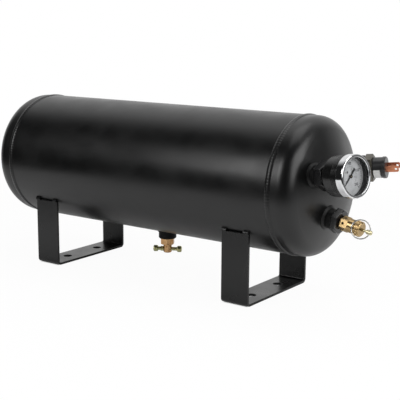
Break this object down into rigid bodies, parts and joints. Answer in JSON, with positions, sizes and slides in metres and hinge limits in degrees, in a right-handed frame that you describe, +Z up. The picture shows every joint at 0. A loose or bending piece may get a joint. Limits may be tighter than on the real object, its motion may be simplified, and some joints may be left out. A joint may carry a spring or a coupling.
{
  "type": "compressed air tank",
  "caption": "Small black steel air tank on two bent feet, with a pressure gauge, ring-pull safety valve, pressure switch and drain cock",
  "frame": {"origin": "centre of the feet's four bolt holes, on the plane that the feet stand on", "axes": "X along the tank towards the gauge end, Y across the feet, Z up"},
  "size_m": [0.4757, 0.142, 0.1887],
  "materials": {
    "black_paint": "satin black powder coat",
    "black_oxide_steel": "semi-gloss black",
    "black_enamel": "satin black enamel",
    "black_plastic": "satin",
    "chrome": "polished chrome plate",
    "glass": "clear",
    "rubber": "matte",
    "dial_white": "white enamel with black marks",
    "steel": "bright",
    "brass": "machined brass",
    "yellow_zinc": "yellow passivated zinc plate",
    "zinc": "dull olive plate",
    "diaphragm": "polyimide film",
    "white_plastic": "matte",
    "copper": "copper"
  },
  "bodies": {
    "tank": {"tank_shell": "black_paint", "head_left": "black_paint", "head_right": "black_paint", "seam_weld_left": "black_paint", "seam_weld_right": "black_paint", "foot_left": "black_paint", "foot_right": "black_paint", "foot_welds_left": "black_paint", "foot_welds_right": "black_paint", "gauge_bung": "black_paint", "valve_bung": "black_paint", "switch_bung": "black_paint", "drain_bung": "black_paint", "inlet_bung": "black_paint", "outlet_bung": "black_paint", "bung_welds_right": "black_paint", "bung_welds_left": "black_paint", "drain_bung_weld": "black_paint", "gauge_bushing": "black_oxide_steel", "gauge_socket": "brass", "gauge_case": "black_enamel", "gauge_bezel": "chrome", "gauge_glass": "glass", "gauge_gasket": "rubber", "gauge_dial": "dial_white", "dial_screws": "steel", "gauge_movement_frame": "brass", "bourdon_tube": "brass", "valve_bushing": "black_oxide_steel", "valve_body": "brass", "valve_spring": "steel", "valve_cap": "brass", "switch_bushing": "black_oxide_steel", "switch_base": "zinc", "switch_body": "black_plastic", "switch_diaphragm": "diaphragm", "switch_spring": "steel", "switch_terminal_long": "copper", "switch_terminal_short": "copper", "drain_body": "brass"},
    "gauge_sector_body": {"gauge_sector": "brass"},
    "gauge_pointer_body": {"gauge_pinion": "brass", "gauge_pointer": "black_plastic"},
    "gauge_link_body": {"gauge_link": "brass"},
    "valve_stem_body": {"valve_stem": "steel", "valve_seat_disc": "rubber"},
    "valve_ring_body": {"valve_ring": "steel"},
    "switch_plunger_body": {"switch_plunger": "white_plastic", "switch_contact": "copper"},
    "drain_seal_body": {"drain_seal": "rubber"},
    "drain_stem_body": {"drain_stem": "brass", "drain_handle": "yellow_zinc"}
  },
  "joints": [
    {"name": "gauge_sector_turn", "type": "hinge", "parent": "tank", "child": "gauge_sector_body", "pos_m": [0.2384, -0.04369, 0.13039], "axis": [0.9661, -0.2312, 0.1147], "range_deg": [0, 41.54], "stiffness_Nm_per_rad": 0.001, "springref_deg": -2.86},
    {"name": "gauge_pointer_turn", "type": "hinge", "parent": "tank", "child": "gauge_pointer_body", "pos_m": [0.24558, -0.04554, 0.14031], "axis": [-0.9661, 0.2312, -0.1147], "range_deg": [0, 270.01]},
    {"name": "gauge_link_turn", "type": "hinge", "parent": "gauge_sector_body", "child": "gauge_link_body", "pos_m": [0.23847, -0.04478, 0.12759], "axis": [0.9661, -0.2312, 0.1147], "range_deg": [-41.55, 0]},
    {"name": "valve_lift", "type": "slide", "parent": "tank", "child": "valve_stem_body", "axis": [0.9825, -0.0814, -0.1677], "range_m": [0, 0.002], "stiffness_N_per_m": 4000, "springref_m": -0.003, "deforming": ["valve_spring"]},
    {"name": "valve_ring_swing", "type": "hinge", "parent": "valve_stem_body", "child": "valve_ring_body", "pos_m": [0.25371, -0.01645, 0.08382], "axis": [0.1855, 0.3344, 0.924], "range_deg": [0, 300]},
    {"name": "switch_plunger_slide", "type": "slide", "parent": "tank", "child": "switch_plunger_body", "axis": [0.9678, 0.2309, 0.0999], "range_m": [0, 0.0006], "stiffness_N_per_m": 2000, "springref_m": -0.001, "deforming": ["switch_spring"]},
    {"name": "drain_screw_slide", "type": "slide", "parent": "tank", "child": "drain_seal_body", "axis": [0, 0, -1], "range_m": [0, 0.0025]},
    {"name": "drain_screw_turn", "type": "hinge", "parent": "drain_seal_body", "child": "drain_stem_body", "pos_m": [0.0008, 0, 0.0264], "axis": [0, 0, -1], "range_deg": [0, 900.01]}
  ],
  "couplings": [
    {"joint": "gauge_pointer_turn", "follows": "gauge_sector_turn", "ratio": 6.5},
    {"joint": "gauge_link_turn", "follows": "gauge_sector_turn", "ratio": -1},
    {"joint": "drain_screw_turn", "follows": "drain_screw_slide", "rad_per_m": 6283.2}
  ]
}
